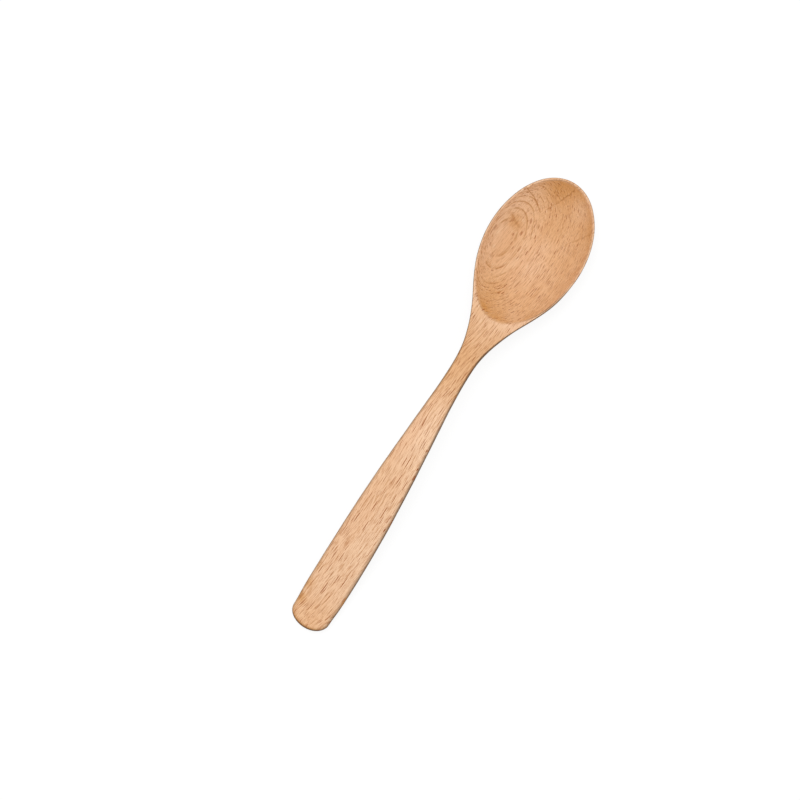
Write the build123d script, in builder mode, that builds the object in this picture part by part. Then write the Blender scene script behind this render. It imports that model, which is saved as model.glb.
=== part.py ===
"""Wooden spoon, carved from one piece of beech.

The spoon lies the way it rests on a table: the back of the bowl and the butt of the
handle touch the table at z = 0, +X runs along the handle to the tip of the bowl, and
the XZ plane divides the spoon into two like halves. Lengths are in millimetres.
"""
import os

from build123d import *

os.makedirs("parts", exist_ok=True)

# Lengths along the spoon: the tip and the butt are rounded over the two end lengths
overall_length = 190.0
nose_length = 28.0
neck_to_bowl = 54.0
butt_round = 5.5

# Widths
bowl_width = 38.2
neck_width = 7.8
grip_width = 16.1

# Heights of the top above the table
rim_height = 10.5
crest_height = 16.9

# Thickness of the handle, from its top to its underside
butt_thickness = 5.0
neck_thickness = 6.4

# Hollow of the bowl, part of an egg whose centre is lifted above the rim
bowl_floor = 2.5
hollow_lift = 4.0
rim_width = 1.15

# Softened edges: across and down on the grip, a plain radius round the bowl
grip_edge_width = 2.2
grip_edge_height = 1.4
rim_round = 0.55

# Bevel between the rim and the hollow
lip_depth = 0.5
lip_angle = 45.0

# Stations from the butt to the neck: place along that run, width as a share of the
# step from the neck to the grip, top as a share of the rise from the butt to the crest.
handle_shares = [
    (0.000, 0.875, 0.000),
    (0.050, 0.942, 0.040),
    (0.150, 0.998, 0.215),
    (0.345, 0.940, 0.576),
    (0.575, 0.676, 0.880),
    (0.795, 0.271, 0.997),
    (0.920, 0.057, 0.980),
    (1.000, 0.000, 0.916),
]

# Stations from the neck to the widest part of the bowl: place along that run, width as
# a share of the step from the neck to the bowl, top as a share of the fall from the
# neck to the rim, underside as a share of the neck's height off the table.
bowl_shares = [
    (0.150, 0.029, 0.270, 0.829),
    (0.300, 0.157, 0.700, 0.593),
    (0.430, 0.336, 0.955, 0.385),
    (0.560, 0.571, 1.000, 0.222),
    (0.700, 0.805, 1.000, 0.092),
    (0.850, 0.949, 1.000, 0.018),
    (1.000, 1.000, 1.000, 0.000),
]

# Back of the hollow, as a share of the way from the widest part back to the neck
hollow_back_share = 0.56

# A curve whose ends are pulled this far towards the corner is a quarter of an ellipse
oval_share = 0.5523

# Where the bevel starts, as a share of its depth: just inside the hollow
bevel_start_share = 1.1


def between(start, end, share):
    """The value that lies a share of the way from start to end."""
    return start + (end - start) * share


# Worked out from the sizes above
butt_station = butt_round - overall_length / 2
bowl_station = overall_length / 2 - nose_length
neck_station = bowl_station - neck_to_bowl
butt_width = between(neck_width, grip_width, handle_shares[0][1])
neck_top = between(butt_thickness, crest_height, handle_shares[-1][2])
neck_bottom = neck_top - neck_thickness
neck_edge_width = grip_edge_width * neck_width / grip_width
hollow_height = rim_height - bowl_floor + hollow_lift
mouth_half_width = bowl_width / 2 - rim_width
mouth_front = nose_length - rim_width
mouth_back = neck_to_bowl * hollow_back_share


def quarter_oval(start, corner, end):
    """A quarter of an oval that leaves start towards corner and reaches end from it."""
    first_pull = Vector(start) + (Vector(corner) - Vector(start)) * oval_share
    second_pull = Vector(end) + (Vector(corner) - Vector(end)) * oval_share
    return Bezier(start, first_pull, second_pull, end)


def cross_section(place, width, top, bottom, edge_width, edge_height):
    """Outline across the spoon: flat top, softened edges and an oval underside."""
    side = width / 2
    shoulder = side - edge_width
    middle = top - edge_height
    with BuildSketch(Plane.YZ.offset(place)) as outline:
        with BuildLine():
            Line((shoulder, top), (-shoulder, top))
            quarter_oval((-shoulder, top), (-side, top), (-side, middle))
            quarter_oval((-side, middle), (-side, bottom), (0, bottom))
            quarter_oval((0, bottom), (side, bottom), (side, middle))
            quarter_oval((side, middle), (side, top), (shoulder, top))
        make_face()
    return outline.sketch


def handle_section(place_share, width_share, top_share):
    """Cross-section at a station between the butt and the neck."""
    top = between(butt_thickness, crest_height, top_share)
    return cross_section(
        between(butt_station, neck_station, place_share),
        between(neck_width, grip_width, width_share),
        top,
        top - between(butt_thickness, neck_thickness, place_share),
        between(grip_edge_width, neck_edge_width, place_share),
        grip_edge_height,
    )


def bowl_section(place_share, width_share, fall_share, underside_share):
    """Cross-section at a station between the neck and the widest part of the bowl."""
    return cross_section(
        between(neck_station, bowl_station, place_share),
        between(neck_width, bowl_width, width_share),
        between(neck_top, rim_height, fall_share),
        neck_bottom * underside_share,
        between(neck_edge_width, rim_round, fall_share),
        between(grip_edge_height, rim_round, fall_share),
    )


def mirrored(shares, end_share):
    """Stations turned over past the end of their run."""
    return [(2 * end_share - place_share, *rest) for place_share, *rest in shares]


# Two stations more at each end keep the skin level and parallel where the rounded ends
# join it. What they add is cut off again.
butt_run_out = mirrored(handle_shares[2:0:-1], handle_shares[0][0])
bowl_run_out = mirrored(bowl_shares[-2:-4:-1], bowl_shares[-1][0])
sections = [handle_section(*shares) for shares in butt_run_out + handle_shares]
sections += [bowl_section(*shares) for shares in bowl_shares + bowl_run_out]

# The rounded end of the handle: half of its section, turned about an upright axis
with BuildPart() as butt_end:
    butt_section = cross_section(
        0, butt_width, butt_thickness, 0, grip_edge_width, grip_edge_height
    )
    half_butt = split(butt_section, bisect_by=Plane.XZ, keep=Keep.BOTTOM, mode=Mode.PRIVATE)
    revolve(half_butt, axis=Axis.Z, revolution_arc=180)
    scale(by=(2 * butt_round / butt_width, 1, 1))

# The front of the bowl, turned the same way from the widest section
with BuildPart() as nose:
    bowl_outline = cross_section(0, bowl_width, rim_height, 0, rim_round, rim_round)
    half_bowl = split(bowl_outline, bisect_by=Plane.XZ, keep=Keep.TOP, mode=Mode.PRIVATE)
    revolve(half_bowl, axis=Axis.Z, revolution_arc=180)
    scale(by=(2 * nose_length / bowl_width, 1, 1))


def hollow_share(depth):
    """Width of the hollow at a depth below the rim, as a share of its mouth."""
    mouth = hollow_height**2 - hollow_lift**2
    return ((hollow_height**2 - (hollow_lift + depth) ** 2) / mouth) ** 0.5


def half_egg(share):
    """Half of the mouth's outline at a share of its size, closed along the long axis."""
    front = mouth_front * share
    back = mouth_back * share
    side = mouth_half_width * share
    with BuildSketch(Plane.XY) as outline:
        with BuildLine():
            EllipticalCenterArc((0, 0), front, side, 0, arc_size=90)
            EllipticalCenterArc((0, 0), back, side, 90, arc_size=90)
            Line((-back, 0), (front, 0))
        make_face()
    return outline.sketch


# What is carved out of the bowl: an egg turned about its long axis, then flattened
with BuildPart() as hollow:
    widest_share = hollow_share(-hollow_lift)
    revolve(half_egg(widest_share), axis=Axis.X)
    scale(by=(1, 1, hollow_height / (mouth_half_width * widest_share)))

# The bevel round the mouth, a cone on the egg's outline
with BuildPart() as bevel:
    bevel_start = lip_depth * bevel_start_share
    with BuildSketch(Plane.XY.offset(-bevel_start)):
        add(half_egg(hollow_share(bevel_start)))
        mirror(about=Plane.XZ)
    extrude(amount=bevel_start + lip_depth, taper=-lip_angle)

with BuildPart() as spoon:
    loft(sections)
    split(bisect_by=Plane.YZ.offset(butt_station), keep=Keep.TOP)
    split(bisect_by=Plane.YZ.offset(bowl_station), keep=Keep.BOTTOM)
    with Locations((butt_station, 0, 0)):
        add(butt_end.part)
    with Locations((bowl_station, 0, 0)):
        add(nose.part)
    with Locations((bowl_station, 0, rim_height)):
        add(bevel.part, mode=Mode.SUBTRACT)
    with Locations((bowl_station, 0, rim_height + hollow_lift)):
        add(hollow.part, mode=Mode.SUBTRACT)

spoon.part.label = "spoon"
export_step(spoon.part, "parts/spoon.step")
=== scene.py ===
"""Wooden spoon of one piece of beech, lying on a white floor.

The spoon's mesh is swept from the same sizes as its solid, with a softened rim, a
slightly crowned handle, a slight bend sideways and the small unevenness of hand sanding.
Its material is solid wood: growth layers, ray flecks and fibres are placed in the spoon's
own space, so they run on round every edge. Sizes here are in millimetres until the mesh
is made. Along is towards the tip of the bowl, and across is to the left.
"""
import math
from types import SimpleNamespace

import bmesh
import bpy
import numpy as np
from mathutils import Matrix, Vector


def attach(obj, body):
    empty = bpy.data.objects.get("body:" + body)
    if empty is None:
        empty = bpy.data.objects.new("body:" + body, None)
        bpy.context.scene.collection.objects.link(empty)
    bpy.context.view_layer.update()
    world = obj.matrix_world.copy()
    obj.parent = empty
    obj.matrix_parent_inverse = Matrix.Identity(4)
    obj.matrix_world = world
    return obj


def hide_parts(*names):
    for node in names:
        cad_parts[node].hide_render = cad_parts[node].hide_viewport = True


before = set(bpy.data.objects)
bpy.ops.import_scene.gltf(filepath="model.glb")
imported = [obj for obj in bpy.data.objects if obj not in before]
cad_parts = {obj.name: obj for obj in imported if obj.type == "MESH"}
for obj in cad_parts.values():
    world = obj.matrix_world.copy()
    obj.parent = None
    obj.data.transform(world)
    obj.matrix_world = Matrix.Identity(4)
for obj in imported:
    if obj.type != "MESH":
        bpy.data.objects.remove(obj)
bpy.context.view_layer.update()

MM = 0.001

# Sizes of the spoon
OVERALL_LENGTH = 190.0
NOSE_LENGTH = 28.0
NECK_TO_BOWL = 54.0
BUTT_ROUND = 5.5
BOWL_WIDTH = 38.2
NECK_WIDTH = 7.8
GRIP_WIDTH = 16.1
RIM_HEIGHT = 10.5
CREST_HEIGHT = 16.9
BUTT_THICKNESS = 5.0
NECK_THICKNESS = 6.4
BOWL_FLOOR = 2.5
HOLLOW_LIFT = 4.0
RIM_WIDTH = 0.8              # between the solid's 1.15 and what its bevel leaves of it
HOLLOW_BACK_SHARE = 0.56
GRIP_EDGE_WIDTH = 2.2
GRIP_EDGE_HEIGHT = 1.4
RIM_ROUND = 0.55

# Place, width and top along the handle, as shares of the runs between the sizes above
HANDLE_SHARES = [
    (0.000, 0.875, 0.000),
    (0.050, 0.942, 0.040),
    (0.150, 0.998, 0.215),
    (0.345, 0.940, 0.576),
    (0.575, 0.676, 0.880),
    (0.795, 0.271, 0.997),
    (0.920, 0.057, 0.980),
    (1.000, 0.000, 0.916),
]

# Place, width, fall of the top and height of the back, from the neck to the bowl
BOWL_SHARES = [
    (0.150, 0.029, 0.270, 0.829),
    (0.300, 0.157, 0.700, 0.593),
    (0.430, 0.336, 0.955, 0.385),
    (0.560, 0.571, 1.000, 0.222),
    (0.700, 0.805, 1.000, 0.092),
    (0.850, 0.949, 1.000, 0.018),
    (1.000, 1.000, 1.000, 0.000),
]

# What hand finishing adds to the plain form
CROWN = 0.3                  # how much lower the top is at the edges of the handle
CROWN_FADE = 25.0            # how far past the neck the crown fades out
LIP_SOFTNESS = 0.25          # rounding between the rim and the hollow
BACK_LIP_SOFTNESS = 0.9      # the same where the hollow runs out towards the neck
LIP_CHANGE = (36.0, 50.0)    # where along the spoon the one gives way to the other
HOLLOW_OFFSET = -0.05        # the hollow is a little nearer the right edge
UNEVENNESS = 0.035           # half the depth of the waves left by sanding

# Those waves: height, then how fast each goes along, across and up, and where it starts
SANDING_WAVES = [
    (1.0, 0.31, 0.42, 0.0, 1.0),
    (0.8, 0.17, -0.66, 0.3, 2.1),
    (0.6, 0.62, 0.23, -0.4, 0.4),
]
WAVES_TOGETHER = 2.4         # all their heights

# How far the spoon bends to its left, by the place along it
BEND = [
    (-95, 0.37), (-86, 0.25), (-73, -0.07), (-59, -0.30), (-40, -0.36), (-22, -0.33), (3, -0.23),
    (32, -0.39), (48, -0.36), (60, -0.08), (68, 0.0), (80, 0.0), (95, 0.25),
]

# The carved egg: half the run over which its back and its front meet, and how fast it
# goes up outside its edge, where it carves nothing
EGG_BLEND = 12.0
OUTSIDE_RISE = 60.0

# How finely the mesh is divided
RIB_POINTS = 110
BEND_WEIGHT = 2.2            # a bend of one radian gets as many points as this length
TOP_SAMPLES = 500            # samples of a rib before it gets its own points
EDGE_SAMPLES = 80
BACK_SAMPLES = 240
HANDLE_STEP = 1.0
LIP_RUN = (34.0, 42.0)       # where the hollow runs out towards the neck
LIP_STEP = 0.22
BOWL_STEP = 0.4
FAN_STEP = 1.6               # degrees between the ribs of the rounded ends
SHORTEST_STEP = 1e-9
MERGE_DISTANCE = 0.5e-6      # points nearer than this, in metres, become one


def between(start, end, share):
    """The value that lies a share of the way from start to end."""
    return start + (end - start) * share


def ease(low, high, value):
    """0 below low, 1 above high and a smooth rise between them."""
    t = np.clip((value - low) / (high - low), 0, 1)
    return t * t * (3 - 2 * t)


BUTT_STATION = BUTT_ROUND - OVERALL_LENGTH / 2
BOWL_STATION = OVERALL_LENGTH / 2 - NOSE_LENGTH
NECK_STATION = BOWL_STATION - NECK_TO_BOWL
NECK_TOP = between(BUTT_THICKNESS, CREST_HEIGHT, HANDLE_SHARES[-1][2])
NECK_BACK = NECK_TOP - NECK_THICKNESS
NECK_EDGE_WIDTH = GRIP_EDGE_WIDTH * NECK_WIDTH / GRIP_WIDTH
HOLLOW_HEIGHT = RIM_HEIGHT - BOWL_FLOOR + HOLLOW_LIFT
HOLLOW_SPREAD = HOLLOW_HEIGHT / math.sqrt(HOLLOW_HEIGHT**2 - HOLLOW_LIFT**2)
MOUTH_FRONT = NOSE_LENGTH - RIM_WIDTH
MOUTH_BACK = NECK_TO_BOWL * HOLLOW_BACK_SHARE
MOUTH_SIDE = BOWL_WIDTH / 2 - RIM_WIDTH


def stations():
    """Rows of place, width, top, underside, edge width and edge height along the spoon."""
    rows = []
    for place, width, rise in HANDLE_SHARES:
        top = between(BUTT_THICKNESS, CREST_HEIGHT, rise)
        rows.append((
            between(BUTT_STATION, NECK_STATION, place),
            between(NECK_WIDTH, GRIP_WIDTH, width),
            top,
            top - between(BUTT_THICKNESS, NECK_THICKNESS, place),
            between(GRIP_EDGE_WIDTH, NECK_EDGE_WIDTH, place),
            GRIP_EDGE_HEIGHT,
        ))
    for place, width, fall, back in BOWL_SHARES:
        rows.append((
            between(NECK_STATION, BOWL_STATION, place),
            between(NECK_WIDTH, BOWL_WIDTH, width),
            between(NECK_TOP, RIM_HEIGHT, fall),
            NECK_BACK * back,
            between(NECK_EDGE_WIDTH, RIM_ROUND, fall),
            between(GRIP_EDGE_HEIGHT, RIM_ROUND, fall),
        ))
    return np.array(rows)


def smooth_through(places, values, at):
    """A smooth curve through the values that runs level at both ends."""
    gaps = np.diff(places)
    slopes = np.diff(values) / gaps
    count = len(places)
    system = np.zeros((count, count))
    right = np.zeros(count)
    system[0, 0] = system[-1, -1] = 1.0
    for i in range(1, count - 1):
        system[i, i - 1] = gaps[i]
        system[i, i] = 2 * (gaps[i - 1] + gaps[i])
        system[i, i + 1] = gaps[i - 1]
        right[i] = 3 * (gaps[i] * slopes[i - 1] + gaps[i - 1] * slopes[i])
    tangents = np.linalg.solve(system, right)
    i = np.clip(np.searchsorted(places, at) - 1, 0, count - 2)
    t = (at - places[i]) / gaps[i]
    return (
        (1 + 2 * t) * (1 - t) ** 2 * values[i]
        + t * (1 - t) ** 2 * gaps[i] * tangents[i]
        + t * t * (3 - 2 * t) * values[i + 1]
        - t * t * (1 - t) * gaps[i] * tangents[i + 1]
    )


def hollow_floor(x, y):
    """Height of the carved egg above a point in plan, far up outside it."""
    front, back, side = [
        part * HOLLOW_SPREAD for part in (MOUTH_FRONT, MOUTH_BACK, MOUTH_SIDE)
    ]
    along = x - BOWL_STATION
    reach = between(back, front, ease(-EGG_BLEND, EGG_BLEND, along))
    inside = 1 - (along / reach) ** 2 - ((y - HOLLOW_OFFSET) / side) ** 2
    depth = HOLLOW_HEIGHT * np.sqrt(np.clip(inside, 0, 1))
    return RIM_HEIGHT + HOLLOW_LIFT - depth + OUTSIDE_RISE * np.clip(-inside, 0, 1)


def soft_lower(a, b, softness):
    """The lower of two heights, with a rounded change from one to the other."""
    share = np.clip(0.5 + 0.5 * (b - a) / softness, 0, 1)
    return between(b, a, share) - softness * share * (1 - share)


def rib(station, direction):
    """One half of the section, from the middle of the top round to the middle of the back.

    direction is the way it points in plan, with the end's own length where it is round.
    """
    place, width, top, back, edge_width, edge_height = station
    side = width / 2
    shoulder = side - edge_width
    middle = top - edge_height
    flat = np.linspace(0, shoulder, TOP_SAMPLES)[:-1]
    turn = np.linspace(0, math.pi / 2, EDGE_SAMPLES)
    under = np.linspace(0, math.pi / 2, BACK_SAMPLES)[1:]
    out = np.concatenate([flat, shoulder + edge_width * np.sin(turn), side * np.cos(under)])
    up = np.concatenate([
        np.full(len(flat), top),
        middle + edge_height * np.cos(turn),
        middle - (middle - back) * np.sin(under),
    ])
    upper = slice(len(flat) + len(turn))
    crown = CROWN * (1 - ease(NECK_STATION, NECK_STATION + CROWN_FADE, place))
    on_top = np.clip((up[upper] - middle) / edge_height, 0, 1)
    up[upper] -= crown * (out[upper] / side) ** 2 * on_top
    x = place + out * direction[0]
    y = out * direction[1]
    softness = between(BACK_LIP_SOFTNESS, LIP_SOFTNESS, ease(*LIP_CHANGE, x[upper]))
    up[upper] = soft_lower(up[upper], hollow_floor(x[upper], y[upper]), softness)
    return even_points(np.stack([x, y, up], axis=1))


def even_points(line):
    """The line with a set number of points, closer together where it bends."""
    steps = np.diff(line, axis=0)
    lengths = np.linalg.norm(steps, axis=1)
    ways = steps / np.maximum(lengths, SHORTEST_STEP)[:, None]
    bends = np.arccos(np.clip((ways[1:] * ways[:-1]).sum(axis=1), -1, 1))
    weight = lengths.copy()
    weight[1:] += BEND_WEIGHT * bends
    run = np.concatenate([[0], np.cumsum(weight)])
    at = np.linspace(0, run[-1], RIB_POINTS)
    return np.stack([np.interp(at, run, line[:, i]) for i in range(3)], axis=1)


def rib_places():
    """Places of the straight ribs from the butt to the bowl, close together at the lip."""
    lip_start, lip_end = LIP_RUN
    handle = np.arange(BUTT_STATION, lip_start, HANDLE_STEP)
    lip = np.arange(lip_start, lip_end, LIP_STEP)
    bowl = np.linspace(lip_end, BOWL_STATION, int((BOWL_STATION - lip_end) / BOWL_STEP))
    return np.concatenate([handle, lip, bowl])


def fan(station, first, end_length):
    """Ribs half round one end of the spoon, from just past the first angle in degrees."""
    reach = 2 * end_length / station[1]
    angles = np.arange(first + FAN_STEP, first + 180 - FAN_STEP / 2, FAN_STEP)
    turns = [math.radians(angle) for angle in angles]
    return [rib(station, (math.cos(turn) * reach, math.sin(turn))) for turn in turns]


def spoon_ribs():
    """All ribs in turn: left side, round the butt, right side, round the bowl's front."""
    table = stations()
    places = rib_places()
    columns = [smooth_through(table[:, 0], table[:, i], places) for i in range(1, 6)]
    rows = np.stack([places] + columns, axis=1)
    return (
        [rib(row, (0, 1)) for row in rows[::-1]]
        + fan(rows[0], 90, BUTT_ROUND)
        + [rib(row, (0, -1)) for row in rows]
        + fan(rows[-1], -90, NOSE_LENGTH)
    )


def spoon_mesh():
    """Sweeps the ribs once round the spoon and closes them into one skin."""
    ribs = spoon_ribs()
    points = np.concatenate(ribs)
    bend = np.array(BEND)
    points[:, 1] += smooth_through(bend[:, 0], bend[:, 1], points[:, 0])
    points *= MM
    faces = []
    for i in range(len(ribs)):
        a, b = i * RIB_POINTS, (i + 1) % len(ribs) * RIB_POINTS
        faces += [(a + j, a + j + 1, b + j + 1, b + j) for j in range(RIB_POINTS - 1)]
    mesh = bpy.data.meshes.new("beech_spoon")
    mesh.from_pydata(points.tolist(), [], faces)
    work = bmesh.new()
    work.from_mesh(mesh)
    bmesh.ops.remove_doubles(work, verts=work.verts, dist=MERGE_DISTANCE)
    bmesh.ops.dissolve_degenerate(work, edges=work.edges, dist=MERGE_DISTANCE)
    bmesh.ops.recalc_face_normals(work, faces=work.faces)
    work.to_mesh(mesh)
    work.free()
    mesh.shade_smooth()
    return mesh


def rows_of(elements, name):
    """A value with three parts of all the elements, a row for each."""
    values = np.empty(len(elements) * 3)
    elements.foreach_get(name, values)
    return values.reshape(-1, 3)


def hand_sanded(mesh):
    """Moves the skin inwards by slow waves, as sanding by hand leaves it."""
    at = rows_of(mesh.vertices, "co")
    normal = rows_of(mesh.vertex_normals, "vector")
    x, y, z = (at / MM).T
    wave = sum(
        height * np.sin(along * x + across * y + up * z + start)
        for height, along, across, up, start in SANDING_WAVES
    ) - WAVES_TOGETHER
    at = at + normal * (wave * UNEVENNESS * MM / WAVES_TOGETHER)[:, None]
    at[:, 2] = np.maximum(at[:, 2], 0)
    mesh.vertices.foreach_set("co", at.ravel())
    mesh.update()


def linear(red, green, blue):
    """A colour given in the 0 to 255 steps of a screen, as light values."""
    def one(value):
        value /= 255
        return value / 12.92 if value <= 0.04045 else ((value + 0.055) / 1.055) ** 2.4
    return (one(red), one(green), one(blue), 1.0)


class Graph:
    """A node tree, with short calls that add a node and return its output."""

    def __init__(self, owner):
        self.owner = owner
        self.owner.use_nodes = True
        self.tree = self.owner.node_tree
        self.tree.nodes.clear()

    def node(self, kind, inputs=(), **settings):
        node = self.tree.nodes.new(kind)
        for name, value in settings.items():
            setattr(node, name, value)
        for key, value in dict(inputs).items():
            self.put(node.inputs[key], value)
        return node

    def put(self, socket, value):
        if isinstance(value, bpy.types.NodeSocket):
            self.tree.links.new(value, socket)
        else:
            socket.default_value = value

    def math(self, operation, *values, clamp=False):
        settings = {"operation": operation, "use_clamp": clamp}
        return self.node("ShaderNodeMath", enumerate(values), **settings).outputs[0]

    def add(self, a, b):
        return self.math("ADD", a, b)

    def times(self, a, b):
        return self.math("MULTIPLY", a, b)

    def less(self, a, b):
        return self.math("SUBTRACT", a, b)

    def vector(self, operation, *values):
        node = self.node("ShaderNodeVectorMath", enumerate(values), operation=operation)
        return node.outputs["Value" if operation in ("DOT_PRODUCT", "LENGTH") else "Vector"]

    def join(self, x, y, z):
        return self.node("ShaderNodeCombineXYZ", {0: x, 1: y, 2: z}).outputs[0]

    def split(self, vector):
        return tuple(self.node("ShaderNodeSeparateXYZ", {0: vector}).outputs)

    def scaled(self, parts, scales):
        return self.join(*[self.times(part, scale) for part, scale in zip(parts, scales)])

    def ease(self, value, low, high, start=0.0, end=1.0):
        inputs = {0: value, 1: low, 2: high, 3: start, 4: end}
        settings = {"interpolation_type": "SMOOTHSTEP", "clamp": True}
        return self.node("ShaderNodeMapRange", inputs, **settings).outputs[0]

    def fade(self, share, start, end):
        return self.ease(share, 0.0, 1.0, start, end)

    def noise(self, at, detail=2.0, roughness=0.5, output=0):
        inputs = {"Vector": at, "Scale": 1.0, "Detail": detail, "Roughness": roughness}
        return self.node("ShaderNodeTexNoise", inputs).outputs[output]

    def cells(self, at, randomness):
        inputs = {"Vector": at, "Scale": 1.0, "Randomness": randomness}
        node = self.node("ShaderNodeTexVoronoi", inputs)
        tone = self.node("ShaderNodeSeparateColor", {0: node.outputs["Color"]})
        return node.outputs["Position"], tone.outputs[0], tone.outputs[1]

    def mix(self, share, a, b):
        return self.node("ShaderNodeMix", {0: share, 2: a, 3: b}).outputs[0]

    def blend(self, share, a, b, kind="MIX"):
        inputs = {0: share, 6: a, 7: b}
        settings = {"data_type": "RGBA", "blend_type": kind, "clamp_factor": True}
        return self.node("ShaderNodeMix", inputs, **settings).outputs[2]

    def seen(self):
        """1 for the camera's rays and for those that a sheen or glass sends on, else 0."""
        rays = self.node("ShaderNodeLightPath").outputs
        seen = self.math("MAXIMUM", rays["Is Camera Ray"], rays["Is Transmission Ray"])
        return self.math("MAXIMUM", seen, rays["Is Glossy Ray"])


# A ramp is where a smooth change starts and ends and, unless it goes from 0 to 1, the
# values before and after it. The notes say what each ramp goes by, where "facing" is how
# far the surface faces that way, from 0 to 1 or to -1 the other way.

# Directions in the wood: along the fibres, and across them in plan
FIBRES = Vector((0.991, -0.131, 0.0)).normalized()
ACROSS = Vector((0.131, 0.991, 0.0)).normalized()

# How far one gets through the growth layers for each millimetre to the left, up and ahead
LAYER_LEAN = -0.459
LAYER_RISE = 0.888
LAYER_AHEAD = 0.022

# Where the growth layers lie flat on the side of the hollow
EYE = Vector((65.4, 11.9, 5.2))

# The top line of the spoon is a rise less a fall, both by the place along
TOP_RISE = (-132.4, -10.7, -0.35, 16.74)
TOP_FALL = (5.7, 41.3, 0.0, 6.24)

# Behind this place the layers and fibres run straight along the spoon
STRAIGHT_BEHIND = 44.0
STRAIGHT_SOFTNESS = 12.0

# Right of this place the layers curve down
CURL_START = 6.0
CURL_SOFTNESS = 4.0
CURL = 0.008

# How far the layers are shifted at the neck and at the butt, by the place along
NECK_DRIFT = (-8.0, 46.0, 2.6, 0.0)
BUTT_DRIFT = (-105.0, -40.0, 3.0, 0.0)

# Slow waves: how fast they go along, across and square to the layers, and how far they
# move the layers and what lies in them
SWAY_SCALES = (0.045, 0.10, 0.10)
SWAY_LAYER = 0.7
SWAY_ACROSS = 2.5

IN_BOWL = (15.0, 40.0)                     # place along
NOISE_MIDDLE = 0.5


def wood_point(g):
    """Where the shaded point lies on the spoon and in its wood, and how it faces there.

    The place in the wood, grain, is along the fibres, across them and square to the
    layers, which follow the arch of the handle, as they do in a blank that was split.
    """
    coordinates = g.node("ShaderNodeTexCoord").outputs
    at = g.vector("MULTIPLY", coordinates["Object"], (1 / MM,) * 3)
    x, y, z = g.split(at)
    top = g.less(g.ease(x, *TOP_RISE), g.ease(x, *TOP_FALL))
    behind = g.math("SMOOTH_MAX", g.less(STRAIGHT_BEHIND, x), 0.0, STRAIGHT_SOFTNESS)
    ahead = g.add(g.less(x, EYE.x), behind)
    curl = g.math("SMOOTH_MAX", g.less(CURL_START, y), 0.0, CURL_SOFTNESS)
    drift = g.add(g.ease(x, *NECK_DRIFT), g.ease(x, *BUTT_DRIFT))
    layer = g.times(g.less(y, EYE.y), LAYER_LEAN)
    layer = g.add(layer, g.times(g.less(g.less(z, top), EYE.z - RIM_HEIGHT), LAYER_RISE))
    layer = g.add(layer, g.times(g.times(curl, curl), CURL))
    layer = g.add(layer, g.add(g.times(ahead, LAYER_AHEAD), drift))
    along = g.vector("DOT_PRODUCT", at, tuple(FIBRES))
    across = g.add(g.times(y, ACROSS.y), g.times(ahead, ACROSS.x))
    across = g.add(across, g.times(drift, 1 / LAYER_LEAN))
    slow = g.noise(g.scaled((along, across, layer), SWAY_SCALES), detail=1.0, output=1)
    sway = g.node("ShaderNodeSeparateColor", {0: slow}).outputs
    layer = g.add(layer, g.times(g.less(sway[0], NOISE_MIDDLE), SWAY_LAYER))
    across = g.add(across, g.times(g.less(sway[1], NOISE_MIDDLE), SWAY_ACROSS))
    normal = coordinates["Normal"]
    ahead_facing, left_facing, up_facing = g.split(normal)
    cut = g.vector("DOT_PRODUCT", normal, (0.0, LAYER_LEAN, LAYER_RISE))
    ends = g.vector("DOT_PRODUCT", normal, tuple(FIBRES))
    return SimpleNamespace(
        x=x, y=y, z=z,
        below=g.less(top, z),
        in_bowl=g.ease(x, *IN_BOWL),
        grain=(along, across, layer),
        ahead=ahead_facing, left=left_facing, up=up_facing,
        flat=g.math("ABSOLUTE", cut),
        ends=g.math("ABSOLUTE", ends),
    )


# Dark flecks lie flat in the layers. Each set has the space that one fleck has for itself
# and the fleck's own size, as length, breadth and thickness, then the share of places left
# empty, the strength in the handle and in the bowl, how flat on the layers the surface is
# where the set begins and ends to change, its strength before and after, and a shift that
# parts the sets.
FLECKS = [
    ((3.4, 1.3, 0.46), (2.4, 1.0, 0.17), 0.15, (0.40, 0.90), (0.91, 0.97, 1.0, 0.5), 0.0),
    ((7.0, 1.4, 0.46), (5.4, 1.2, 0.17), 0.10, (1.00, 0.60), (0.91, 0.97, 1.0, 0.5), 31.0),
    ((5.0, 2.2, 0.60), (3.0, 1.2, 0.34), 0.20, (1.00, 0.60), (0.91, 0.97, 0.0, 1.0), 57.0),
    ((3.4, 1.5, 0.66), (2.5, 1.1, 0.30), 0.15, (0.00, 0.75), (0.74, 0.86, 1.0, 0.0), 83.0),
]
FLECK_SCATTER = 0.85             # how far the flecks stray from even rows
FLECK_STRENGTHS = (0.35, 1.0)    # weakest and strongest fleck of a set
FLECK_SPREADS = (0.6, 1.15)      # smallest and largest, as a share of the size
FLECK_CORE = 0.7                 # a fleck has its full strength in this share of its size
FLECK_GAP = 0.20                 # how far above each dark fleck a light one lies


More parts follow.
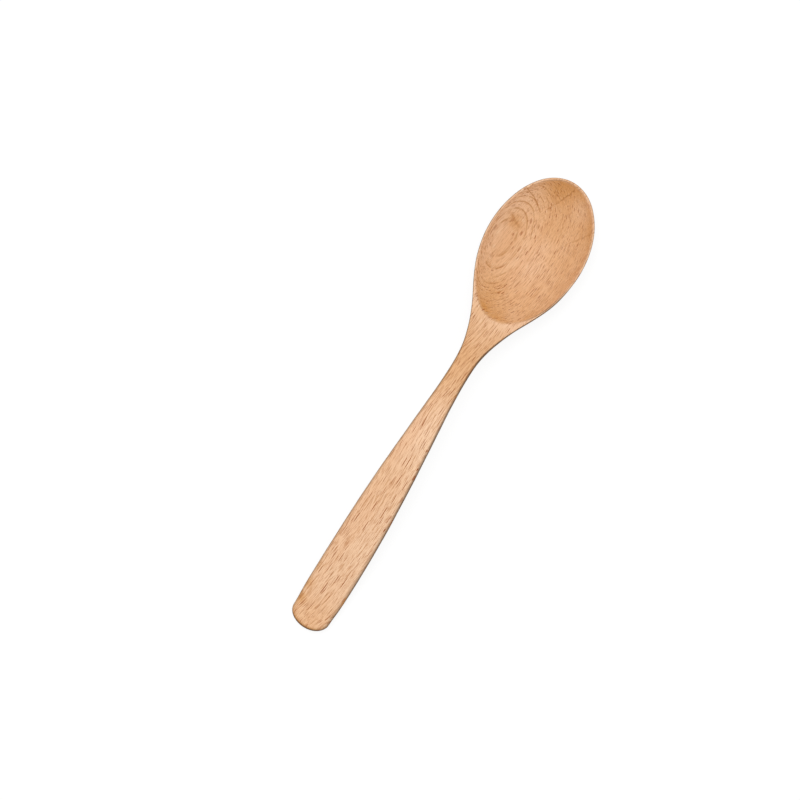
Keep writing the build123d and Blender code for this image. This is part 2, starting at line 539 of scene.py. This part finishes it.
def flecks(g, wood):
    """How dark the dark flecks and how light the light ones are at a point, from 0 to 1."""
    shades = [None, None]
    along, across, layer = wood.grain
    for space, size, empty, strengths, cuts, shift in FLECKS:
        spot = g.join(
            g.add(g.times(along, 1 / space[0]), shift),
            g.times(across, 1 / space[1]),
            g.times(layer, 1 / space[2]),
        )
        centre, first, second = g.cells(spot, FLECK_SCATTER)
        away = g.vector("SUBTRACT", spot, centre)
        shown = g.math("GREATER_THAN", first, empty)
        shown = g.times(shown, g.fade(second, *FLECK_STRENGTHS))
        shown = g.times(shown, g.fade(wood.in_bowl, *strengths))
        shown = g.times(shown, g.ease(wood.flat, *cuts))
        spread = g.ease(first, empty, 1.0, *FLECK_SPREADS)
        for i, gap in enumerate((0.0, FLECK_GAP)):
            place = g.vector("SUBTRACT", away, (0.0, 0.0, gap / space[2]))
            place = g.vector("MULTIPLY", place, tuple(2 * a / b for a, b in zip(space, size)))
            distance = g.math("DIVIDE", g.vector("LENGTH", place), spread)
            depth = g.times(g.ease(distance, 1.0, FLECK_CORE), shown)
            shades[i] = depth if shades[i] is None else g.math("MAXIMUM", shades[i], depth)
    return shades


def add_spots(g, wood, total, spots, core):
    """Adds to a total near each spot: its share, in full within a core of its reach."""
    for along, across, reach, share in spots:
        away = g.vector("LENGTH", g.join(g.less(wood.x, along), g.less(wood.y, across), 0.0))
        total = g.add(total, g.ease(away, reach, reach * core, 0.0, share))
    return total


# Spots where the colour is deepened towards the oil colour, or paled where the share is below 0:
# place along and across, reach, share
PATCHES = [
    (81.0, -0.5, 13.0, 0.15), (90.0, 4.5, 7.0, 0.24), (74.0, -16.0, 12.0, 0.06),
    (72.5, 12.0, 5.0, 0.35), (46.0, 5.5, 9.0, 0.14), (62.0, -2.0, 11.0, -0.16),
    (89.0, -8.5, 9.0, -0.42), (-34.0, 2.0, 18.0, 0.16), (-86.0, 6.8, 3.5, 0.45),
    (-80.0, 7.2, 3.5, 0.45), (-73.0, 7.4, 3.0, 0.30), (37.5, 5.5, 5.0, 0.30),
    (41.0, -7.0, 6.0, -0.30), (27.0, 0.0, 9.0, -0.32),
    (76.0, -3.0, 7.0, 0.16), (67.0, -7.0, 6.0, 0.14),
]

# What decides the oil and the painted shade elsewhere
UNDER_RIM = RIM_HEIGHT - 0.9
OIL_AND_SHADE_INSIDE = (32.0, 38.0)                  # place along
OIL_AND_SHADE_UNDER_RIM = (RIM_HEIGHT, UNDER_RIM)    # height
OIL_AND_SHADE_FACING_UP = (0.70, 1.0, 0.10, 0.31)        # facing up
OIL_AND_SHADE_ACROSS_LAYERS = (0.88, 0.3)                      # how flat on the layers the surface is
OIL_AND_SHADE_ACROSS_SHARE = (20.0, 40.0, 0.08, 0.24)   # place along
OIL_ENDS = (0.12, 0.7)                     # how square to the fibres the surface is
OIL_ENDS_SHARE = 0.56
OIL_NECK_BACK = (-10.0, 12.0)              # place along
OIL_NECK_FRONT = (40.0, 26.0)              # place along
OIL_NECK_SHARE = 0.50
OIL_BUTT = (-76.0, -92.0, 0.0, 0.34)       # place along
RUBBED_AND_LIT_RIM = (RIM_HEIGHT, UNDER_RIM, 0.35, 1.0)         # height
RIM_ALONE = (45.0, 30.0, 0.0, -8.0)        # place along, keeps the ramp above off the handle
PATCH_UP = (-0.1, 0.2)                     # facing up


def oil_and_painted_shade(g, wood):
    """How far the colour at a point is deepened, by oil and by painted shade.

    Oil goes in deeper where the surface cuts across the fibres, and it gathers at the neck and
    at the butt. In the hollow, most where it faces up, and wherever the surface cuts across the
    layers, the deepening is partly oil and partly painted shade. Round the rim it is taken off,
    partly as oil rubbed off and partly as a painted highlight.
    """
    inside = g.times(g.ease(wood.x, *OIL_AND_SHADE_INSIDE), g.ease(wood.z, *OIL_AND_SHADE_UNDER_RIM))
    neck = g.times(g.ease(wood.x, *OIL_NECK_BACK), g.ease(wood.x, *OIL_NECK_FRONT))
    cut = g.times(g.ease(wood.flat, *OIL_AND_SHADE_ACROSS_LAYERS), g.ease(wood.x, *OIL_AND_SHADE_ACROSS_SHARE))
    deepening = g.add(g.times(inside, g.ease(wood.up, *OIL_AND_SHADE_FACING_UP)), cut)
    deepening = g.add(deepening, g.times(g.ease(wood.ends, *OIL_ENDS), OIL_ENDS_SHARE))
    deepening = g.add(deepening, g.add(g.times(neck, OIL_NECK_SHARE), g.ease(wood.x, *OIL_BUTT)))
    height = g.add(wood.z, g.ease(wood.x, *RIM_ALONE))
    deepening = g.times(deepening, g.ease(height, *RUBBED_AND_LIT_RIM))
    patches = add_spots(g, wood, 0.0, PATCHES, 0.0)
    return g.add(deepening, g.times(patches, g.ease(wood.up, *PATCH_UP)))


# Base colours in the steps of a screen: the two broad tones, a paler tone along the right
# edge of the handle that is a painted sheen, and the oil, which also carries painted shade
TONES = (linear(240, 194, 155), linear(235, 185, 144))
PAINTED_SHEEN_TONE = linear(243, 202, 166)
OIL_AND_SHADE_COLOUR = linear(207, 142, 68)
TONE_SCALES = (0.035, 0.16, 0.2)           # how fast the tones change, as for the waves
TONE_CHANGE = (0.32, 0.68)                 # noise
PALE_ALONG = (40.0, 20.0)                  # place along
PALE_ACROSS = (3.0, -6.5)                  # place across
PALE_SHARE = 0.5


def broad_tones(g, wood):
    """The colour of the wood before its grain, with painted sheen and painted shade in it."""
    slow = g.noise(g.scaled(wood.grain, TONE_SCALES), detail=1.0)
    colour = g.blend(g.ease(slow, *TONE_CHANGE), *TONES)
    pale = g.times(g.ease(wood.x, *PALE_ALONG), g.ease(wood.y, *PALE_ACROSS))
    colour = g.blend(g.times(pale, PALE_SHARE), colour, PAINTED_SHEEN_TONE)
    return g.blend(oil_and_painted_shade(g, wood), colour, OIL_AND_SHADE_COLOUR)


# Painted shade on the rounded outer edge of the top, where it turns away from the light: most
# on the near side, at the right shoulder and at the butt, less on the far side
EDGE_SHADE_COLOUR = (0.24, 0.21, 0.17, 1.0)             # what is left of red, green and blue
FAR_EDGE_SHADE_COLOUR = (0.30, 0.37, 0.42, 1.0)
NEAR_FACING = (-0.15, -0.8)                # facing left
NEAR_SHARE = (-15.0, 0.0, 0.85, 0.70)      # place along
NEAR_END = (64.0, 50.0)                    # place along
SHOULDER_FACING = (0.0, -0.5)              # facing left
SHOULDER_BACK = (10.0, 30.0)               # place along
SHOULDER_FRONT = (62.0, 50.0, 0.0, 0.95)   # place along
BUTT_FACING = (-0.35, -0.75)               # facing ahead
ROUNDING_STARTS = (0.85, 0.96)             # facing up, on the handle and on the bowl
ROUNDING_END = 0.35                        # facing up
ROUNDING_SHARE = (-10.0, 15.0, 0.40, 0.60)  # place along
FAR_FACING = (0.25, 0.8)                   # facing left
FAR_SHARE = (-10.0, 45.0, 0.35, 0.55)      # place along
BAND_LOWEST = (5.0, 30.0, 2.8, 1.3)        # place along, gives a depth below the top
BAND_LOW = (5.0, 30.0, 1.4, 0.6)           # the same
BAND_OUTSIDE = (0.99, 1.01)                # how far out in the hollow


def hollow_share(g, wood):
    """How far out from the middle of the hollow a point is, 1 at the rim."""
    along = g.less(wood.x, BOWL_STATION)
    front = g.math("MAXIMUM", g.times(along, 1 / MOUTH_FRONT), 0.0)
    back = g.math("MAXIMUM", g.times(along, -1 / MOUTH_BACK), 0.0)
    side = g.times(g.less(wood.y, HOLLOW_OFFSET), 1 / MOUTH_SIDE)
    return g.vector("LENGTH", g.join(g.add(front, back), side, 0.0))


def painted_edge_shade(g, wood, colour):
    """The colour with painted shade on the outer edge of the top."""
    near = g.times(g.ease(wood.x, *NEAR_SHARE), g.ease(wood.x, *NEAR_END))
    near = g.times(g.ease(wood.left, *NEAR_FACING), near)
    shoulder = g.times(g.ease(wood.x, *SHOULDER_BACK), g.ease(wood.x, *SHOULDER_FRONT))
    near = g.add(near, g.times(g.ease(wood.left, *SHOULDER_FACING), shoulder))
    edge_darkening = g.add(near, g.ease(wood.ahead, *BUTT_FACING))
    start = g.fade(wood.in_bowl, *ROUNDING_STARTS)
    share = g.ease(wood.x, *ROUNDING_SHARE)
    edge_darkening = g.add(edge_darkening, g.ease(wood.up, start, ROUNDING_END, 0.0, share))
    far = g.times(g.ease(wood.left, *FAR_FACING), g.ease(wood.x, *FAR_SHARE))
    band = g.ease(wood.below, g.ease(wood.x, *BAND_LOWEST), g.ease(wood.x, *BAND_LOW))
    band = g.times(band, g.ease(hollow_share(g, wood), *BAND_OUTSIDE))
    colour = g.blend(g.times(edge_darkening, band), colour, EDGE_SHADE_COLOUR, "MULTIPLY")
    return g.blend(g.times(far, band), colour, FAR_EDGE_SHADE_COLOUR, "MULTIPLY")


# Where the hollow cuts through the dark edge of a layer: place along and across at both
# ends of the cut, its half width and how dark it is
LAYER_EDGES = [
    (94.2, -1.6, 87.5, 1.2, 0.35, 0.75), (87.5, 1.2, 82.2, 4.2, 0.45, 0.50),
    (92.6, 5.0, 85.0, 3.4, 0.70, 0.25), (84.6, 14.6, 83.6, 10.8, 0.35, 0.75),
    (83.6, 10.8, 80.2, 5.6, 0.35, 0.60), (73.6, 13.8, 71.6, 9.6, 0.75, 0.60),
    (83.0, -15.6, 75.5, -9.4, 0.45, 0.45), (75.5, -9.4, 70.0, -6.4, 0.50, 0.30),
]
EDGE_COLOUR = linear(180, 116, 54)
EDGE_CORE = 0.25                           # a cut is darkest in this share of its width
EDGE_BREAKS = (-0.25, 0.25, 0.5, 1.0)      # how far the cut wanders
EDGE_UP = (0.0, 0.2)                       # facing up
EDGE_TOP = (RIM_HEIGHT + 0.3, RIM_HEIGHT)  # height


def layer_edges(g, wood, wander):
    """How dark the layer edges that the hollow cuts through are at a point."""
    shade = 0.0
    at = g.join(wood.x, g.add(wood.y, wander), 0.0)
    for x_start, y_start, x_end, y_end, half_width, share in LAYER_EDGES:
        start = Vector((x_start, y_start, 0.0))
        run = Vector((x_end, y_end, 0.0)) - start
        away = g.vector("SUBTRACT", at, tuple(start))
        part = g.vector("DOT_PRODUCT", away, tuple(run / run.length_squared))
        part = g.math("ADD", part, 0.0, clamp=True)
        nearest = g.vector("MULTIPLY", g.join(part, part, 0.0), tuple(run))
        distance = g.vector("LENGTH", g.vector("SUBTRACT", away, nearest))
        dark = g.ease(distance, half_width, half_width * EDGE_CORE, 0.0, share)
        shade = g.math("MAXIMUM", dark, shade)
    shade = g.times(shade, g.ease(wander, *EDGE_BREAKS))
    shade = g.times(shade, g.ease(wood.up, *EDGE_UP))
    return g.times(shade, g.ease(wood.z, *EDGE_TOP))


# Growth rings. Each gets darker towards its late edge, and ends in a thin line that
# comes and goes
RING_WIDTH = 0.72
RING_SHIFT = 10.483                        # puts the rings of the eye in their places
LATE_COLOUR = linear(214, 160, 108)
LATE_RISE = (0.35, 0.93)                   # share of the ring that is passed
LATE_FALL = (1.0, 0.96)                    # the same
LATE_SHARES = (0.05, 0.16)                 # in the handle and in the bowl
LINE_COLOUR = linear(188, 126, 66)
LINE_RISE = (0.72, 0.92)                   # share of the ring that is passed
LINE_FALL = (1.0, 0.95)                    # the same
LINE_SHOWN = (0.50, 0.62, 0.0, 0.75)       # noise
BREAK_SCALES = (0.22, 0.22, 0.8)           # how fast that noise goes, as for the waves
WANDER = 2.0                               # how far it moves the cut layer edges

# Where the lines show most: place along and across, reach, share
RINGS_SHOWN = [
    (73.0, 11.5, 9.0, 0.06), (62.0, 8.0, 9.0, 0.03),
    (82.0, 9.0, 8.0, 0.10), (48.0, 7.0, 8.0, 0.06),
]
RINGS_CORE = 1 / 3           # the share is full within this part of the reach


def ringed(g, wood, colour):
    """The colour with the growth rings and the layer edges that the hollow cuts."""
    layer = wood.grain[2]
    ring = g.math("FRACT", g.add(g.times(layer, 1 / RING_WIDTH), RING_SHIFT))
    late = g.times(g.ease(ring, *LATE_RISE), g.ease(ring, *LATE_FALL))
    late = g.times(late, g.fade(wood.in_bowl, *LATE_SHARES))
    line = g.times(g.ease(ring, *LINE_RISE), g.ease(ring, *LINE_FALL))
    broken = g.noise(g.scaled(wood.grain, BREAK_SCALES))
    broken = add_spots(g, wood, broken, RINGS_SHOWN, RINGS_CORE)
    line = g.times(line, g.ease(broken, *LINE_SHOWN))
    wander = g.times(g.less(broken, NOISE_MIDDLE), WANDER)
    colour = g.blend(late, colour, LATE_COLOUR)
    colour = g.blend(line, colour, LINE_COLOUR)
    return g.blend(layer_edges(g, wood, wander), colour, EDGE_COLOUR)


# Fine streaks along the layers and fibres: how fast each kind goes along, across and
# square to the layers, its detail and roughness, and its share
STREAKS = [
    ((0.18, 2.2, 2.6), 1.0, 0.50, 0.16),
    ((0.26, 4.0, 3.0), 2.0, 0.75, 0.74),
    ((0.22, 0.8, 4.5), 2.0, 0.50, 0.10),
]
STREAK_CHANGE = (0.375, 0.54)              # noise
STREAK_TINTS = ((0.76, 0.64, 0.52, 1.0), (1.12, 1.18, 1.23, 1.0))
STREAK_SHARES = (0.95, 0.65)               # in the handle and in the bowl


def streaks(g, wood):
    """How far a point is from the dark streaks to the light ones, from 0 to 1."""
    streak, fibre, sheet = [
        g.times(g.noise(g.scaled(wood.grain, scales), detail, roughness), share)
        for scales, detail, roughness, share in STREAKS
    ]
    return g.add(streak, g.add(fibre, sheet))


DARK_FLECK = linear(154, 74, 8)
LIGHT_FLECK = linear(255, 226, 190)
LIGHT_FLECK_SHARE = 0.35
STREAK_RELIEF = 0.5          # height of the light streaks and depth of the dark flecks,
FLECK_RELIEF = 0.15          # as shares of the distance below, in metres
BUMP = {"Strength": 0.35, "Distance": 0.00006}
ROUGHNESS = (0.2, 0.8, 0.44, 0.56)         # how light the streaks are
SHEENS = (0.35, 0.05)                      # of plain wood and of a dark fleck


def beech():
    """Steamed beech, sanded and lightly oiled."""
    g = Graph(bpy.data.materials.new("beech_oiled"))
    wood = wood_point(g)
    colour = broad_tones(g, wood)
    # Painted shade on the outer edge of the top
    colour = painted_edge_shade(g, wood, colour)
    colour = ringed(g, wood, colour)

    fine = streaks(g, wood)
    tint = g.blend(g.ease(fine, *STREAK_CHANGE), *STREAK_TINTS)
    colour = g.blend(g.fade(wood.in_bowl, *STREAK_SHARES), colour, tint, "MULTIPLY")

    dark, light = flecks(g, wood)
    colour = g.blend(g.times(light, LIGHT_FLECK_SHARE), colour, LIGHT_FLECK)
    colour = g.blend(dark, colour, DARK_FLECK)

    height = g.less(g.times(fine, STREAK_RELIEF), g.times(dark, FLECK_RELIEF))
    bump = g.node("ShaderNodeBump", {**BUMP, "Height": height})
    shader = g.node("ShaderNodeBsdfPrincipled", {
        "Base Color": colour,
        "Roughness": g.ease(fine, *ROUGHNESS),
        "Normal": bump.outputs[0],
        "Specular IOR Level": g.fade(dark, *SHEENS),
    })
    g.node("ShaderNodeOutputMaterial", {0: shader.outputs[0]})
    return g.owner


# The camera looks almost straight down from the near side of the spoon
VIEW_DISTANCE = 800.0
VIEW_CENTRE = Vector((0.0, 0.0, 8.0))
VIEW_TURN = 58.723           # the spoon's long axis on the picture, in degrees
VIEW_TILT = (2.0, -5.0)      # lean of the view to the right and ahead, in degrees
VIEW_MOVE = (-14.5346, 1.6686)       # the camera's shift to the right and up
PIXELS_PER_MM = 2.7427
PICTURE_PIXELS = 800
SENSOR = 36.0
NEAREST_SEEN = 0.01          # metres


def view_ways():
    """Picture right, picture up and the way to the camera, in the spoon's space."""
    turn = math.radians(VIEW_TURN)
    right = Vector((math.cos(turn), -math.sin(turn), 0))
    ahead = Vector((math.sin(turn), math.cos(turn), 0))
    lean = [math.tan(math.radians(tilt)) for tilt in VIEW_TILT]
    back = (Vector((0, 0, 1)) + right * lean[0] + ahead * lean[1]).normalized()
    right = (right - back * right.dot(back)).normalized()
    return right, back.cross(right), back


def add_camera():
    right, up, back = view_ways()
    data = bpy.data.cameras.new("camera")
    data.sensor_width = SENSOR
    data.lens = PIXELS_PER_MM * VIEW_DISTANCE * SENSOR / PICTURE_PIXELS
    data.clip_start = NEAREST_SEEN
    camera = bpy.data.objects.new("camera", data)
    place = VIEW_CENTRE + right * VIEW_MOVE[0] + up * VIEW_MOVE[1] + back * VIEW_DISTANCE
    turn = Matrix((right, up, back)).transposed().to_4x4()
    camera.matrix_world = Matrix.Translation(place * MM) @ turn
    bpy.context.scene.collection.objects.link(camera)
    bpy.context.scene.camera = camera


# Light: a room that is brightest overhead and one broad lamp, almost straight above
ROOM_TOP = 0.86
ROOM_FAR = 0.75              # low down beyond the spoon, at the top of the picture
ROOM_NEAR = 0.10             # low down on the near side, at the foot of the picture
ROOM_LOW = 0.42              # how high the near side's dark reaches, as a share of up
ROOM_CHANGE = (-0.6, 0.4)    # where the near side gives way to the far, as a share of far
LAMP_SHARE = 0.30            # what the lamp adds on level ground
LAMP_HEIGHT = 79.0
LAMP_SIDE = (-0.3, 1.0)      # where it stands, to the right and up on the picture
LAMP_SPREAD = 35.0
FLOOR_HALF = 2.0             # metres
FLOOR_SEEN = 0.17            # the floor's white in the picture
FLOOR_LIFT = 0.87            # added to it there, so that only the shadow shows
FLOOR_THROWN = 0.12          # what it throws back onto the spoon
FLOOR_ROUGHNESS = 0.9


def add_lamp():
    right, up, _ = view_ways()
    height = math.radians(LAMP_HEIGHT)
    side = right * LAMP_SIDE[0] + up * LAMP_SIDE[1]
    side.z = 0
    way = side.normalized() * math.cos(height) + Vector((0, 0, math.sin(height)))
    data = bpy.data.lights.new("lamp", "SUN")
    data.energy = LAMP_SHARE * math.pi / math.sin(height)
    data.angle = math.radians(LAMP_SPREAD)
    lamp = bpy.data.objects.new("lamp", data)
    lamp.rotation_euler = way.to_track_quat("Z", "Y").to_euler()
    bpy.context.scene.collection.objects.link(lamp)


def add_room():
    up = view_ways()[1]
    world = bpy.data.worlds.new("room")
    g = Graph(world)
    seen = g.seen()
    sky = g.node("ShaderNodeTexCoord").outputs["Generated"]
    rise = g.split(sky)[2]
    ahead = Vector((up.x, up.y, 0)).normalized()
    far = g.ease(g.vector("DOT_PRODUCT", sky, tuple(ahead)), *ROOM_CHANGE)
    low = g.mix(far, ROOM_NEAR, ROOM_FAR)
    room = g.mix(g.ease(rise, 0.0, ROOM_LOW), low, ROOM_TOP)
    background = g.node("ShaderNodeBackground", {"Strength": g.mix(seen, room, 1.0)})
    g.node("ShaderNodeOutputWorld", {0: background.outputs[0]})
    bpy.context.scene.world = world


def white_floor():
    """White that looks even in the picture and throws little light onto the spoon."""
    g = Graph(bpy.data.materials.new("white_floor"))
    seen = g.seen()
    white = g.blend(seen, (FLOOR_THROWN,) * 3 + (1.0,), (FLOOR_SEEN,) * 3 + (1.0,))
    shader = g.node("ShaderNodeBsdfPrincipled", {
        "Base Color": white, "Roughness": FLOOR_ROUGHNESS, "Specular IOR Level": 0.0,
        "Emission Color": (1.0, 1.0, 1.0, 1.0), "Emission Strength": g.times(seen, FLOOR_LIFT),
    })
    g.node("ShaderNodeOutputMaterial", {0: shader.outputs[0]})
    return g.owner


def add_floor():
    mesh = bpy.data.meshes.new("floor")
    corners = [(-1, -1, 0), (1, -1, 0), (1, 1, 0), (-1, 1, 0)]
    points = [tuple(FLOOR_HALF * part for part in corner) for corner in corners]
    mesh.from_pydata(points, [], [(0, 1, 2, 3)])
    mesh.materials.append(white_floor())
    floor = bpy.data.objects.new("floor", mesh)
    bpy.context.scene.collection.objects.link(floor)


def add_spoon():
    mesh = spoon_mesh()
    hand_sanded(mesh)
    mesh.materials.append(beech())
    spoon = bpy.data.objects.new("beech_spoon", mesh)
    bpy.context.scene.collection.objects.link(spoon)
    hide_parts("spoon")
    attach(spoon, "root")


add_camera()
add_lamp()
add_room()
add_floor()
add_spoon()
bpy.context.scene.view_settings.view_transform = "Standard"
